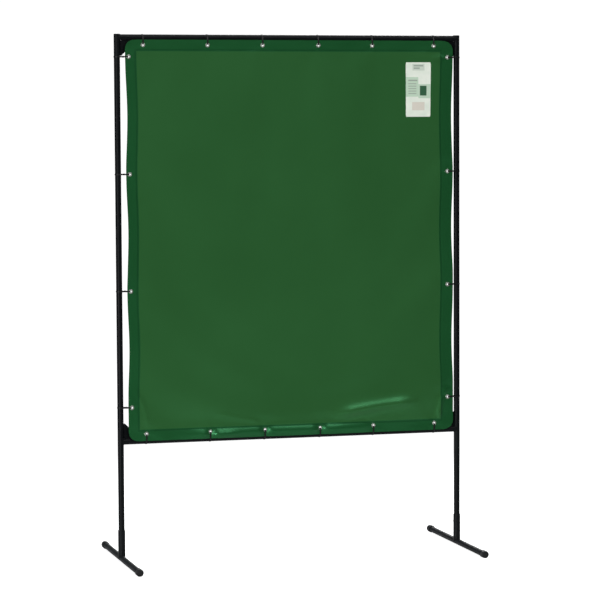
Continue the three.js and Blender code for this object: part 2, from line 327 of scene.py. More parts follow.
def green_film():
    """Tinted PVC film: a faintly cloudy dark green, darker in the double hem, with ribs in the hem's weld."""
    gloss = {"Specular_IOR_Level": 0.5, "IOR": 1.53, "Specular_Tint": (0.24, 1.0, 0.45, 1)}
    material, tree, shader, coords = surface("green_film", **gloss)
    cloud = noise_of(tree, coords, 2.6, 3)
    fine = noise_of(tree, coords, 260, 3)
    wobble = noise_of(tree, stretched(tree, coords, (22, 22, 9)), 1, 3)
    layers = node(tree, "Attribute", attribute_name="layers").outputs["Fac"]
    pressed = node(tree, "Attribute", attribute_name="pressed").outputs["Fac"]
    single = ramp(tree, cloud, [(0.3, (0.0195, 0.084, 0.0215)), (0.7, (0.0225, 0.094, 0.0255))])
    double = ramp(tree, cloud, [(0.3, (0.0075, 0.058, 0.0155)), (0.7, (0.0095, 0.068, 0.0195))])
    colour = mix(tree, layers, single, double)
    waves = {"Vector": coords, "Scale": 190.0}
    ribs = node(tree, "TexWave", waves, bands_direction="DIAGONAL").outputs["Fac"]
    rib_height = mix(tree, pressed, (0.5, 0.5, 0.5, 1), ribs)
    in_weld = mix(tree, 0.25, colour, (0, 0, 0, 1))
    feed(
        tree, shader,
        Base_Color=mix(tree, pressed, colour, in_weld),
        Roughness=ramp(tree, fine, [(0.3, 0.3), (0.7, 0.38)]),
        Normal=bumps(tree, (wobble, 0.25, 1.2 * MM), (fine, 0.12, 0.15 * MM), (rib_height, 0.35, 0.2 * MM)),
    )
    see_through = node(tree, "BsdfTransparent", {"Color": (0.2, 0.7, 0.25, 1)})
    share = {0: SEE_THROUGH, 1: shader.outputs["BSDF"], 2: see_through.outputs["BSDF"]}
    both = node(tree, "MixShader", share)
    tree.links.new(both.outputs["Shader"], tree.nodes["Material Output"].inputs["Surface"])
    return material


GREY_INK, PALE_INK, MINT_INK = (0.3, 0.36, 0.3), (0.56, 0.63, 0.54), (0.5, 0.64, 0.5)
GREEN_INK, BEIGE_INK = (0.025, 0.1, 0.045), (0.66, 0.62, 0.54)
SOFT_ACROSS, SOFT_UP = 0.006, 0.003  # how far an edge of the print fades
PRINTED_BLOCKS = [  # left, right, low and high as shares of the label, and the ink
    (0.27, 0.75, 0.85, 0.975, PALE_INK),
    (0.32, 0.7, 0.925, 0.95, GREY_INK),
    (0.32, 0.56, 0.88, 0.905, GREY_INK),
    (0.0, 0.5, 0.37, 0.73, MINT_INK),
    (0.5, 1.0, 0.34, 0.6, MINT_INK),
    (0.1, 0.46, 0.655, 0.68, GREY_INK),
    *[(0.1, 0.42, 0.42 + 0.045 * i, 0.435 + 0.045 * i, GREY_INK) for i in range(5)],
    (0.56, 0.83, 0.39, 0.57, GREEN_INK),
    (0.25, 0.75, 0.12, 0.27, BEIGE_INK),
]


def label_vinyl():
    """White vinyl with plain blocks and bars that say nothing, placed by the label's own u and v."""
    material, tree, shader, coords = surface("label_vinyl", Roughness=0.42)
    place = node(tree, "Attribute", attribute_name="place").outputs["Vector"]
    split = node(tree, "SeparateXYZ", {"Vector": place})
    across, up = split.outputs["X"], split.outputs["Y"]

    def step(value, edge, soft):
        inputs = {"Value": value, "From Min": edge - soft, "From Max": edge + soft}
        return node(tree, "MapRange", inputs).outputs["Result"]

    def times(a, b):
        return node(tree, "Math", {0: a, 1: b}, operation="MULTIPLY").outputs["Value"]

    def less(a, b):
        return node(tree, "Math", {0: a, 1: b}, operation="SUBTRACT", use_clamp=True).outputs["Value"]

    def block(left, right, low, high):
        sideways = less(step(across, left, SOFT_ACROSS), step(across, right, SOFT_ACROSS))
        return times(sideways, less(step(up, low, SOFT_UP), step(up, high, SOFT_UP)))

    cloud = noise_of(tree, coords, 30, 3)
    colour = ramp(tree, cloud, [(0.3, (0.7, 0.77, 0.67)), (0.7, (0.8, 0.84, 0.75))])
    for left, right, low, high, ink in PRINTED_BLOCKS:
        colour = mix(tree, block(left, right, low, high), colour, (*ink, 1))
    fine = noise_of(tree, coords, 700, 2)
    feed(tree, shader, Base_Color=colour, Normal=bumps(tree, (fine, 0.08, 0.1 * MM)))
    return material


# --- Frame ------------------------------------------------


JOINT_SIDES = 96  # the steps round a coped joint and its bead


def tube(length):
    """A straight tube along Z from 0, its ends lightly deburred."""
    burr = 0.3 * MM
    profile = [
        (TUBE_BORE_R, 0), (TUBE_R - burr, 0), (TUBE_R, burr),
        (TUBE_R, length - burr), (TUBE_R - burr, length), (TUBE_BORE_R, length),
    ]
    return lathe(profile, closed=True)


def saddle_x(y):
    """How far out a rail's end reaches where it meets an upright."""
    return UPRIGHT_X - math.sqrt(max(TUBE_R**2 - y * y, 0))


def coped_rail(axis_z):
    """A rail along X whose ends fit round the uprights."""
    rings = []
    for radius, ends in ((TUBE_R, (-1, 1)), (TUBE_BORE_R, (1, -1))):
        for end in ends:
            rings.append([(end * saddle_x(y), y, axis_z + z) for y, z in disc(radius, JOINT_SIDES)])
    return skin(rings, closed=True)


def rail_weld(side, axis_z):
    """The bead where a rail meets an upright."""
    path = [(side * saddle_x(y), y, axis_z + z) for y, z in disc(TUBE_R, JOINT_SIDES)]
    centre = Vector((side * (UPRIGHT_X - TUBE_R), 0, axis_z))
    return weld(path, lambda p: p - centre, 1.5 * MM)


def gusset(name):
    """A corner plate with rounded edges, welded along both legs on both faces."""
    low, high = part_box(name)
    side = 1 if low.x > 0 else -1
    up = 1 if "bottom" in name else -1
    corner = Vector((high.x if side > 0 else low.x, 0, low.z if up > 0 else high.z))
    leg, tip, half = high.x - low.x, 5 * MM, (high.y - low.y) / 2
    ease = 0.5 * MM

    def outline(inset):
        far = leg - inset * 2.2
        flat = [(inset, inset), (far, inset), (far, tip), (tip, far), (inset, far)]
        return [(corner.x - side * a, corner.z + up * b) for a, b in flat]

    rings = []
    for y, inset in ((-half, ease), (-half + ease, 0), (half - ease, 0), (half, ease)):
        rings.append([(x, y, z) for x, z in outline(inset)])
    plate = skin(rings)
    beads = []
    near, far, off = 4 * MM, leg - 3 * MM, 0.2 * MM  # a bead's ends along a leg, and its gap from the tube
    for face in (-1, 1):
        y = face * (half + 0.4 * MM)
        for ends in (((near, off), (far, off)), ((off, near), (off, far))):
            path = [(corner.x - side * a, y, corner.z + up * b) for a, b in ends]
            beads.append(weld(path, lambda p, face=face: Vector((0, face, 0)), 1.3 * MM, closed=False))
    return plate, joined(*beads)


def build_frame(paint):
    low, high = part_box("upright_right")
    for hand, side in HANDS.items():
        upright = moved(tube(high.z - low.z), at(side * UPRIGHT_X, 0, low.z))
        add(f"upright_tube_{hand}", upright, paint, "screen", [f"upright_{hand}"])
    beads = []
    for row, axis_z in (("top", TOP_RAIL_Z), ("bottom", BOTTOM_RAIL_Z)):
        add(f"{row}_rail_tube", coped_rail(axis_z), paint, "screen", [f"{row}_rail"])
        beads += [rail_weld(side, axis_z) for side in HANDS.values()]
        for hand in HANDS:
            plate, plate_beads = gusset(f"gusset_{row}_{hand}")
            name = f"corner_plate_{row}_{hand}"
            add(name, plate, paint, "screen", [f"gusset_{row}_{hand}"], sharp=25)
            beads.append(plate_beads)
    add("frame_welds", joined(*beads), paint, "screen")


SEAT_GAP = 0.3 * MM  # between a plug's flange and the end of its tube


def top_plug():
    """A moulded plug: a domed flange on a ribbed stem, about Z, with the tube's end at -SEAT_GAP."""
    stem_r, rib_r, depth = TUBE_BORE_R - 0.6 * MM, TUBE_BORE_R - 0.05 * MM, 14 * MM
    rise = extent("top_plug_left").z - depth
    profile = [(0.5 * MM, -depth), (TUBE_BORE_R - 2 * MM, -depth), (stem_r, 1.4 * MM - depth)]
    for k in range(3):
        base = (-11.5 + 3.4 * k) * MM
        profile += [(stem_r, base), (rib_r, base + 0.5 * MM), (stem_r, base + 2.2 * MM)]
    profile += [(stem_r, -SEAT_GAP), (TUBE_R - 0.2 * MM, -SEAT_GAP)]
    profile += bend((TUBE_R - 0.75 * MM, 0.35 * MM), 0.7 * MM, -60, 80, 6)
    profile += [(TUBE_R * k, rise - 0.45 * MM * k * k) for k in (0.8, 0.6, 0.4, 0.2)] + [(0.5 * MM, rise)]
    return lathe(profile)


def build_plugs(plastic):
    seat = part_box("upright_right")[1].z
    for hand, side in HANDS.items():
        shape = moved(top_plug(), at(side * UPRIGHT_X, 0, seat + SEAT_GAP))
        add(f"end_plug_{hand}", shape, plastic, "screen", [f"top_plug_{hand}"])


# --- Feet -------------------------------------------------

SOCKET_R, SOCKET_BORE_R = 13 * MM, 11.5 * MM
BOSS_R, BOSS_BORE_R = 7 * MM, 3.3 * MM
BOSS_START_Y, BOSS_END_Y = 12 * MM, 19 * MM  # from inside the socket's wall to the wing screw


def saddle_z(x):
    """How high the bottom of the socket's wall stands where it sits on the foot tube."""
    return FOOT_Z + max(math.sqrt(max(TUBE_R**2 - x * x, 0)), 1 * MM)


def socket_shape(top):
    """The socket round an upright, coped onto the foot tube, with an eased lip at the top."""
    lip = 0.6 * MM
    profile = [
        (SOCKET_BORE_R, None), (SOCKET_R, None), (SOCKET_R, top - lip),
        (SOCKET_R - lip, top), (SOCKET_BORE_R + lip, top), (SOCKET_BORE_R, top - lip),
    ]
    rings = []
    for radius, height in profile:
        ring = disc(radius, JOINT_SIDES)
        rings.append([(x, y, saddle_z(x) if height is None else height) for x, y in ring])
    return skin(rings, closed=True)


def screw_boss():
    """The boss that the clamp screw runs in, along Z, with its outer edges eased."""
    rim = 0.7 * MM
    profile = [
        (BOSS_BORE_R, BOSS_START_Y), (BOSS_R, BOSS_START_Y), (BOSS_R, BOSS_END_Y - rim),
        (BOSS_R - rim, BOSS_END_Y), (BOSS_BORE_R + rim, BOSS_END_Y), (BOSS_BORE_R, BOSS_END_Y - rim),
    ]
    return lathe(profile, 48, closed=True)


def foot_beads(screw_z):
    """The beads round the socket's foot and round the boss."""
    root = SOCKET_R - 1.1 * MM  # the bead's middle line, sunk into the socket's wall
    foot_line = [(x, y, saddle_z(x)) for x, y in disc(root, JOINT_SIDES)]
    boss_line = [(x, math.sqrt(SOCKET_R**2 - x**2), screw_z + z) for x, z in disc(BOSS_R, JOINT_SIDES)]
    return joined(
        weld(foot_line, lambda p: Vector((p.x, p.y, 0)), 1.45 * MM),
        weld(boss_line, lambda p: Vector((p.x, 0, p.z - screw_z)), 1.4 * MM),
    )


def build_feet(paint):
    low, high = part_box("foot_left")
    screw_z = middle("clamp_screw_left").z
    for hand, side in HANDS.items():
        place = at(side * UPRIGHT_X, 0, 0)
        floor_tube = moved(tube(high.y - low.y), at(side * UPRIGHT_X, low.y, FOOT_Z) @ ALONG_Y)
        boss = moved(screw_boss(), place @ at(0, 0, screw_z) @ ALONG_Y)
        body = f"foot_{hand}"
        add(f"floor_tube_{hand}", floor_tube, paint, body, [f"foot_{hand}"])
        add(f"socket_{hand}", moved(socket_shape(high.z), place), paint, body)
        add(f"screw_boss_{hand}", boss, paint, body)
        add(f"foot_welds_{hand}", moved(foot_beads(screw_z), place), paint, body)


def foot_cap(length, radius):
    """A moulded cap along Z, open at 0, with a rounded end and a grip bead at its mouth."""
    bore = TUBE_R + 0.1 * MM
    bead, fillet = 1.2 * MM, 4.2 * MM
    wall = radius - 0.7 * MM
    profile = [(bore, 0), (radius - 0.5 * MM, 0)]
    profile += bend((radius - bead / 2, bead / 2), bead / 2, -90, 60, 5)
    profile += [(wall, bead * 1.6), (wall, length * 0.45)]
    profile += [(radius, length * 0.5), (radius, length - fillet)]
    profile += bend((radius - fillet, length - fillet), fillet, 0, 90, 8)
    profile += [(6 * MM, length), (5.4 * MM, length - 0.5 * MM), (0.5 * MM, length - 0.5 * MM)]
    profile += [(0.5 * MM, length - 4 * MM), (bore - 1 * MM, length - 4 * MM), (bore, length - 5 * MM)]
    return lathe(profile, 72, closed=True)


def build_caps(plastic):
    for end, way in (("front", -1), ("back", 1)):
        for hand, side in HANDS.items():
            name = f"foot_cap_{end}_{hand}"
            low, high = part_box(name)
            mouth = high.y if way < 0 else low.y
            place = at(side * UPRIGHT_X, mouth, FOOT_Z) @ (ALONG_Y if way > 0 else FACE_FRONT)
            shape = moved(foot_cap(high.y - low.y, (high.x - low.x) / 2), place)
            for p in shape[0]:
                p.z = max(p.z, low.z)  # the flat underside
            add(f"end_cap_{end}_{hand}", shape, plastic, f"foot_{hand}", [name])


def thread(start, end, crest, pitch=1 * MM, depth=0.5 * MM, sides=32):
    """A threaded shank along Z, its helix faded out at both ends."""
    steps = 8  # to a turn
    rings = []
    count = round((end - start) / pitch * steps)
    for k in range(count + 1):
        z = start + (end - start) * k / count
        fade = min(1, k / steps, (count - k) / steps)
        ring = []
        for i in range(sides):
            phase = (z / pitch - i / sides) % 1
            groove = abs(2 * phase - 1)
            r = crest - depth * (groove * fade + (1 - fade))
            ring.append((r * math.cos(TURN * i / sides), r * math.sin(TURN * i / sides), z))
        rings.append(ring)
    return skin(rings)


def wing(way, hub_low, hub_high):
    """One ear of the screw's head, a rounded blade that leans outwards."""
    start, end = (-70, 180) if way > 0 else (250, 0)
    outline = bend((way * 10.5 * MM, hub_high - 1 * MM), 6 * MM, start, end, 14)
    foot = [(2 * MM, hub_high - 1.5 * MM), (2 * MM, hub_low + 1 * MM), (6 * MM, hub_low + 1.2 * MM)]
    outline += [(way * a, b) for a, b in foot]
    centre = Vector((way * 8 * MM, (hub_low + hub_high) / 2))
    rings = []
    for y, inset in ((-1.4, 0.82), (-0.9, 0.97), (0, 1), (0.9, 0.97), (1.4, 0.82)):
        ring = [centre + (Vector(p) - centre) * inset for p in outline]
        rings.append([(p.x, y * MM, p.y) for p in ring])
    return skin(rings)


def build_screws(metal):
    for hand, side in HANDS.items():
        low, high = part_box(f"clamp_screw_{hand}")
        hub = high.y - low.y - 7.5 * MM  # the hub's middle, from the screw's tip
        core, tip = 0.4 * MM, 0.8 * MM
        end = [(core, 0), (2 * MM, 0), (2.5 * MM, tip), (2.5 * MM, tip + 1 * MM), (core, tip + 1 * MM)]
        head = [
            (core, hub - 3 * MM), (5 * MM, hub - 3 * MM), (5.5 * MM, hub - 2.5 * MM),
            (5.2 * MM, hub + 2 * MM), (4.6 * MM, hub + 3 * MM), (core, hub + 3.2 * MM),
        ]
        parts = [lathe(end, 32), thread(tip, hub - 2.5 * MM, 3 * MM), lathe(head, 48)]
        parts += [wing(way, hub - 2.6 * MM, hub + 2.8 * MM) for way in (-1, 1)]
        upright_wings = Matrix.Rotation(math.pi / 2, 4, "Z")
        place = at(side * UPRIGHT_X, low.y, middle(f"clamp_screw_{hand}").z) @ ALONG_Y @ upright_wings
        screw = moved(joined(*parts), place)
        add(f"wing_screw_{hand}", screw, metal, f"clamp_screw_{hand}", [f"clamp_screw_{hand}"])


# --- Curtain ----------------------------------------------

HEM = 42 * MM
CORNER = 40 * MM  # the reach of a rounded corner
SCALLOP = 6 * MM  # how far a side edge draws in between two eyelets
FILM, HEM_STEP, HEM_STEP_WIDTH = 0.4 * MM, 0.45 * MM, 0.8 * MM
PRESSED_BAND = (2 * MM, 8 * MM)  # the hem's weld, from the hem's inner line outwards
PRESS_DEPTH, PRESS_FADE = 0.1 * MM, 0.6 * MM
HOLE_R = 5.45 * MM
EDGE_X, LOW_Z, HIGH_Z = -SHEET_LOW.x, SHEET_LOW.z, SHEET_HIGH.z
WIDER_RIGHT = SHEET_HIGH.x - EDGE_X  # how much wider the margin beyond the eyelets is on the right
FILM_PITCH, FINE_PITCH = 10 * MM, 5 * MM
CREASED_Z = 0.65  # below this, the mesh is fine
SETTLE_PITCH, SETTLE_FRAMES = 12 * MM, 36
SLACK = 0.001  # the share by which the film is larger than its frame holds it
SETTLED_SHARE = 0.7  # how much of the settled waves is kept
BOW_REACH = 120 * MM  # how far in from a side edge its bow is felt
WAVES_HELD, CREASES_HELD = 35 * MM, 18 * MM  # how near a strap they fade
PUCKER, PUCKER_REACH = 0.9 * MM, 30 * MM
CREASES = [  # start, end, height, width and curve
    ((0.155, 0.506), (0.480, 0.550), 14 * MM, 20 * MM, 0.006),
    ((-0.44, 0.456), (0.32, 0.460), 11 * MM, 18 * MM, 0.0),
    ((-0.36, 0.452), (-0.20, 0.450), 4 * MM, 9 * MM, 0.0),
    ((0.600, 0.60), (0.565, 0.470), 6.5 * MM, 10 * MM, -0.010),
    ((-0.59, 0.62), (-0.545, 0.490), 2.4 * MM, 9 * MM, 0.012),
    ((0.535, 1.812), (0.615, 1.824), 3.0 * MM, 6 * MM, 0.0),
    ((-0.30, 0.53), (-0.10, 0.487), 2.0 * MM, 8 * MM, 0.0),
]


def cut_edge():
    """The right half of the flat cut, from the middle of the bottom to the middle of the top."""

    def corner(start, control, end):
        t = np.linspace(0, 1, 15)[:, None]
        start, control, end = (np.array(p) for p in (start, control, end))
        return ((1 - t) ** 2 * start + 2 * t * (1 - t) * control + t**2 * end)[:-1]

    bottom = corner((EDGE_X - CORNER, LOW_Z), (EDGE_X, LOW_Z), (EDGE_X, LOW_Z + CORNER))
    top = corner((EDGE_X, HIGH_Z - CORNER), (EDGE_X, HIGH_Z), (EDGE_X - CORNER, HIGH_Z))
    straight = HIGH_Z - LOW_Z - 2 * CORNER
    side_z = np.linspace(LOW_Z + CORNER, HIGH_Z - CORNER, round(straight / FILM_PITCH))[:-1]
    side = np.column_stack([np.full(len(side_z), EDGE_X), side_z])
    run = np.linspace(0, EDGE_X - CORNER, round((EDGE_X - CORNER) / FILM_PITCH))
    low = np.column_stack([run, np.full(len(run), LOW_Z)])[:-1]
    high = np.column_stack([run[::-1], np.full(len(run), HIGH_Z)])
    return np.vstack([low, bottom, side, top, high])


def past_hem(x, z):
    """How far points are outside the hem's inner line."""
    return HEM - np.minimum(EDGE_X - np.abs(x), np.minimum(z - LOW_Z, HIGH_Z - z))


def smooth(t):
    t = np.clip(t, 0, 1)
    return t * t * (3 - 2 * t)


def bow(z):
    """How far a side edge has drawn in at a height, between two eyelets."""
    heights = sorted(EYELETS[s].z for s in ROWS["right"])
    drawn = np.zeros_like(z)
    for low, high in zip(heights, heights[1:]):
        t = (z - low) / (high - low)
        drawn = np.where((t > 0) & (t < 1), SCALLOP * np.sin(math.pi * np.clip(t, 0, 1)) ** 2, drawn)
    return drawn


def ridge(x, z, start, end, height, width, curve=0.0):
    """A soft crease between two points, which stands out towards the viewer and fades at both ends."""
    (x0, z0), (x1, z1) = start, end
    length = math.hypot(x1 - x0, z1 - z0)
    ux, uz = (x1 - x0) / length, (z1 - z0) / length
    along = ((x - x0) * ux + (z - z0) * uz) / length
    off = -(x - x0) * uz + (z - z0) * ux - curve * 4 * along * (1 - along)
    fade = smooth(along / 0.3 + 0.2) * smooth((1 - along) / 0.3 + 0.2)
    return -height * fade / np.cosh(np.clip(off / width, -20, 20)) ** 2


def pucker(x, z, eyelet_place):
    """The small folds that an eyelet pulls into the film round it."""
    dx, dz = x - eyelet_place.x, z - eyelet_place.z
    r, angle = np.hypot(dx, dz), np.arctan2(dz, dx)
    folds = np.cos(5 * angle + eyelet_place.x * 40)
    return PUCKER * folds * (r / PUCKER_REACH) * np.exp(-r / PUCKER_REACH)


def draped(flat):
    """Where points of the flat cut hang, as rows of x, y and z."""
    x, z = flat[:, 0], flat[:, 1]
    near_side = smooth((np.abs(x) - (EDGE_X - BOW_REACH)) / BOW_REACH)
    hung_x = x - np.sign(x) * bow(z) * near_side
    at_corner = smooth((np.maximum(LOW_Z - z, z - HIGH_Z) + 55 * MM) / (30 * MM))
    widened = (5 + 35 * at_corner) * MM  # as wide as the rounding at a corner
    hung_x = hung_x + WIDER_RIGHT * np.clip((x - EDGE_X) / widened + 1, 0, 1)

    strap_gap = near_tie(x, z)
    free, loose = (1 - np.exp(-((strap_gap / reach) ** 2)) for reach in (WAVES_HELD, CREASES_HELD))
    out = SETTLED_SHARE * free * sampled(settled_film, x, z)
    for crease in CREASES:
        out = out + ridge(x, z, *crease) * loose
    for eyelet_place in EYELETS.values():
        out = out + pucker(x, z, eyelet_place)
    flare = smooth((z - LOW_Z) / (50 * MM))
    out = out - 3.2 * MM * (1 - flare) * (0.5 + 0.5 * np.sin(9 * x + 0.8)) * free

    at_bottom, at_top = smooth((LOW_Z + 30 * MM - z) / (20 * MM)), smooth((z - HIGH_Z + 25 * MM) / (20 * MM))
    out = np.where(out > 0, out * (1 - np.maximum(at_bottom, at_top)), out)  # never back into a rail
    return np.column_stack([hung_x, FILM_Y + out, z])


def near_eyelet(x, z):
    gaps = [np.hypot(x - p.x, z - p.z) for p in EYELETS.values()]
    return np.min(gaps, axis=0)


def near_tie(x, z):
    """How far points are from the straps, which run from each eyelet to the edge beside it."""
    gaps = []
    for station, p in EYELETS.items():
        if station.startswith(("top", "bottom")):
            edge = HIGH_Z if p.z > 1 else LOW_Z
            gaps.append(np.hypot(x - p.x, z - np.clip(z, min(p.z, edge), max(p.z, edge))))
        else:
            edge = math.copysign(EDGE_X, p.x)
            gaps.append(np.hypot(z - p.z, x - np.clip(x, min(p.x, edge), max(p.x, edge))))
    return np.min(gaps, axis=0)


def faint_waves(x, z):
    """The shallow waves that a film has from its roll."""
    return (
        0.6 * np.sin(6.1 * x + 1.3 * z + 0.4) * np.sin(2.2 * z - 0.6)
        + 0.3 * np.sin(11.3 * x - 4.2 * z + 1.9)
        + 0.2 * np.sin(19.0 * x + 9.0 * z)
    ) * MM


def evened(grid, axis):
    """A grid averaged with its neighbours along an axis."""
    padded = np.pad(grid, [(1, 1) if k == axis else (0, 0) for k in (0, 1)], mode="edge")
    before, after = (np.take(padded, range(k, k + grid.shape[axis]), axis) for k in (0, 2))
    return (before + 2 * grid + after) / 4


def settle():
    """Lets a slack film settle, held at its eyelets, and gives how far it ends out of its plane on a grid."""
    count_x, count_z = round(2 * EDGE_X / SETTLE_PITCH) + 1, round((HIGH_Z - LOW_Z) / SETTLE_PITCH) + 1
    x, z = np.meshgrid(np.linspace(-EDGE_X, EDGE_X, count_x), np.linspace(LOW_Z, HIGH_Z, count_z))
    points = np.column_stack([x.ravel(), faint_waves(x, z).ravel(), z.ravel()])
    corners = [j * count_x + i for j in range(count_z - 1) for i in range(count_x - 1)]
    mesh = bpy.data.meshes.new("settling")
    mesh.from_pydata(points.tolist(), [], [(k, k + 1, k + count_x + 1, k + count_x) for k in corners])
    sheet = bpy.data.objects.new("settling", mesh)
    bpy.context.scene.collection.objects.link(sheet)
    pins = sheet.vertex_groups.new(name="pins")
    held = np.flatnonzero(near_eyelet(points[:, 0], points[:, 2]) < 0.9 * SETTLE_PITCH)
    pins.add(held.tolist(), 1.0, "REPLACE")
    modifier = sheet.modifiers.new("cloth", "CLOTH")
    modifier.point_cache.frame_end = SETTLE_FRAMES
    modifier.collision_settings.use_collision = False
    cloth = modifier.settings
    cloth.vertex_group_mass = pins.name
    cloth.quality = 6
    cloth.mass = 0.03
    cloth.air_damping = 2
    cloth.tension_stiffness = cloth.compression_stiffness = 80
    cloth.shear_stiffness = 50
    cloth.bending_stiffness = 2
    cloth.shrink_min = -SLACK
    cloth.effector_weights.gravity = 0.35
    for i in range(SETTLE_FRAMES):
        bpy.context.scene.frame_set(i + 1)
    settled = sheet.evaluated_get(bpy.context.evaluated_depsgraph_get()).to_mesh()
    ends = np.empty(3 * len(points), np.float32)
    settled.vertices.foreach_get("co", ends)
    bpy.data.objects.remove(sheet)
    bpy.context.scene.frame_set(1)
    offsets = ends.reshape(count_z, count_x, 3)[:, :, 1].astype(float)
    for axis in (0, 1, 0, 1):
        offsets = evened(offsets, axis)
    return offsets


def sampled(grid, x, z):
    """The grid's values at points, through a smooth cubic spline."""
    rows, columns = grid.shape
    padded = np.pad(grid, 2, mode="edge")
    u = np.clip((x + EDGE_X) / (2 * EDGE_X), 0, 1) * (columns - 1)
    v = np.clip((z - LOW_Z) / (HIGH_Z - LOW_Z), 0, 1) * (rows - 1)

    def spline(t):
        """The four weights of a cubic B-spline."""
        second, third = 3 * t**3 - 6 * t**2 + 4, -3 * t**3 + 3 * t**2 + 3 * t + 1
        return (1 - t) ** 3 / 6, second / 6, third / 6, t**3 / 6

    i, j = np.floor(u).astype(int), np.floor(v).astype(int)
    total = np.zeros_like(x)
    for dj, weight_z in enumerate(spline(v - j)):
        for di, weight_x in enumerate(spline(u - i)):
            total = total + weight_z * weight_x * padded[j + dj + 1, i + di + 1]
    return total


def film_layout():
    """The flat cut as points and triangles, with lines along the hem and a hole for each eyelet."""
    right = cut_edge()
    left = right[1:-1][::-1] * [-1, 1]
    points, edges = [], []

    def loop(ring):
        first = len(points)
        points.extend(map(tuple, ring))
        edges.extend((first + i, first + (i + 1) % len(ring)) for i in range(len(ring)))

    loop(np.vstack([right, left]))
    start, end = PRESSED_BAND
    for offset in (0, HEM_STEP_WIDTH, start, start + PRESS_FADE, end - PRESS_FADE, end):
        x, low, high = EDGE_X - HEM + offset, LOW_Z + HEM - offset, HIGH_Z - HEM + offset
        corners = [(-x, low), (x, low), (x, high), (-x, high)]
        ring = []
        for (ax, az), (bx, bz) in zip(corners, corners[1:] + corners[:1]):
            count = round(math.hypot(bx - ax, bz - az) / FILM_PITCH)
            ring += [(ax + (bx - ax) * i / count, az + (bz - az) * i / count) for i in range(count)]
        loop(ring)
    for centre in EYELETS.values():
        loop([(centre.x + a, centre.z + b) for a, b in disc(HOLE_R, 32)])
        for radius in (8 * MM, 11 * MM, 15 * MM):
            points.extend((centre.x + a, centre.z + b) for a, b in disc(radius, 32))
    room = 3 * MM  # between the points of a grid and any line
    for pitch, low, high in ((FINE_PITCH, LOW_Z, CREASED_Z), (FILM_PITCH, CREASED_Z + FILM_PITCH, HIGH_Z)):
        columns = np.linspace(-EDGE_X, EDGE_X, round(2 * EDGE_X / pitch) + 1)
        rows = np.linspace(low, high, round((high - low) / pitch) + 1)
        x, z = (grid.ravel() for grid in np.meshgrid(columns, rows))
        clear = near_eyelet(x, z) > 17 * MM
        clear &= np.abs(x) < np.interp(z, right[:, 1], right[:, 0]) - room
        clear &= (z > LOW_Z + room) & (z < HIGH_Z - room)
        clear &= (past_hem(x, z) < -room) | (past_hem(x, z) > end + room)
        points.extend(zip(x[clear], z[clear]))
    solved = geometry.delaunay_2d_cdt([Vector(p) for p in points], edges, [], 0, 1e-7)
    flat, triangles = np.array(solved[0]), np.array(solved[2])
    centres = flat[triangles].mean(axis=1)
    keep = np.abs(centres[:, 0]) < np.interp(centres[:, 1], right[:, 1], right[:, 0])
    keep &= near_eyelet(centres[:, 0], centres[:, 1]) > HOLE_R * 0.995
    return flat, triangles[keep]


settled_film = settle()


def film_mesh():
    """The film as one closed shell: a front, a back that steps out at the hem, and walls at the cut edges."""
    flat, triangles = film_layout()
    used, triangles = np.unique(triangles, return_inverse=True)
    triangles = triangles.reshape(-1, 3)
    flat = flat[used]
    hung = draped(flat)
    small = 0.5 * MM
    along_x = draped(flat + [small, 0]) - hung
    along_z = draped(flat + [0, small]) - hung
    normal = np.cross(along_z, along_x)
    normal /= np.linalg.norm(normal, axis=1)[:, None]
    normal *= np.sign(normal[:, 1:2])  # towards the back
    outside = past_hem(*flat.T)
    layers = smooth(outside / HEM_STEP_WIDTH)
    start, end = PRESSED_BAND
    pressed = smooth((outside - start) / PRESS_FADE) * smooth((end - outside) / PRESS_FADE)
    front = hung - normal * (FILM / 2 - PRESS_DEPTH * pressed)[:, None]
    back = hung + normal * (FILM / 2 + HEM_STEP * layers - PRESS_DEPTH * pressed)[:, None]
    count = len(flat)
    a, b, c = (flat[triangles[:, k]] for k in range(3))
    turn = (b[:, 0] - a[:, 0]) * (c[:, 1] - a[:, 1]) - (b[:, 1] - a[:, 1]) * (c[:, 0] - a[:, 0])
    triangles[turn < 0] = triangles[turn < 0][:, ::-1]  # counter-clockwise as the viewer sees them
    sides = np.vstack([triangles[:, [0, 1]], triangles[:, [1, 2]], triangles[:, [2, 0]]])
    both = {tuple(s) for s in sides.tolist()}
    rim = [(i, j) for i, j in both if (j, i) not in both]
    faces = triangles.tolist() + (triangles[:, ::-1] + count).tolist()
    faces += [(j, i, i + count, j + count) for i, j in sorted(rim)]
    return np.vstack([front, back]), faces, np.tile(layers, 2), np.tile(pressed, 2)


def add_values(mesh, name, values):
    attribute = mesh.attributes.new(name, "FLOAT", "POINT")
    attribute.data.foreach_set("value", np.asarray(values, np.float32))


def build_film():
    points, faces, layers, pressed = film_mesh()
    film = add("film", (points, faces), green_film(), "screen", ["curtain"], sharp=50)
    add_values(film.data, "layers", layers)
    add_values(film.data, "pressed", pressed)
    return film


